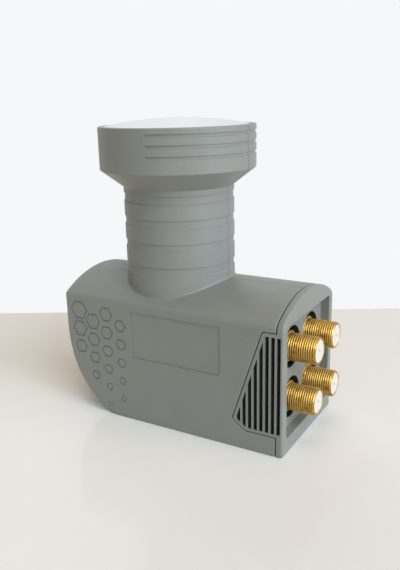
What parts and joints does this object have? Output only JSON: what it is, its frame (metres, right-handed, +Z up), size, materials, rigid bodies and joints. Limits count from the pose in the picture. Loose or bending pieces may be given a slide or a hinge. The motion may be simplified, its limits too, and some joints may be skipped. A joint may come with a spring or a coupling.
{
  "type": "satellite lnb",
  "caption": "Satellite dish receiver head: arched grey case with a banded clamp neck, a capped feedhorn ring and threaded coax outputs behind a sliding weather shield.",
  "frame": {"origin": "on the neck's axis, in the plane of the flat underside", "axes": "+Z up the neck, +X the way the connectors point, -Y out of the side with the sunk panel"},
  "size_m": [0.0959, 0.056, 0.1093],
  "materials": {
    "housing_grey": "fine matt moulded grain",
    "cap_white": "smooth satin",
    "connector_gold": "gold-coloured plating",
    "insulator_white": "smooth",
    "contact_brass": "plated",
    "chassis_metal": "as cast",
    "seal_rubber": "matt",
    "board_green": "solder mask",
    "board_part_black": "moulded",
    "sheet_metal": "tinned sheet",
    "bush_white": "smooth",
    "screw_steel": "zinc plated"
  },
  "bodies": {
    "lnb": {"housing_front": "housing_grey", "housing_rear": "housing_grey", "feed_cap": "cap_white", "cap_seal": "seal_rubber", "chassis": "chassis_metal", "chassis_cover": "chassis_metal", "cover_screws": "screw_steel", "rf_board": "board_green", "board_chip": "board_part_black", "board_crystal": "sheet_metal", "board_shield_can": "sheet_metal", "probe_horizontal": "contact_brass", "probe_vertical": "contact_brass", "probe_bush_horizontal": "bush_white", "probe_bush_vertical": "bush_white", "connector_gasket": "seal_rubber", "connector_shell_1": "connector_gold", "connector_insulator_1": "insulator_white", "connector_contact_1": "contact_brass", "connector_shell_2": "connector_gold", "connector_insulator_2": "insulator_white", "connector_contact_2": "contact_brass", "connector_shell_3": "connector_gold", "connector_insulator_3": "insulator_white", "connector_contact_3": "contact_brass", "connector_shell_4": "connector_gold", "connector_insulator_4": "insulator_white", "connector_contact_4": "contact_brass"},
    "shield": {"weather_shield": "housing_grey"}
  },
  "joints": [
    {"name": "shield_slide", "type": "slide", "parent": "lnb", "child": "shield", "axis": [1, 0, 0], "range_m": [0, 0.012]}
  ]
}
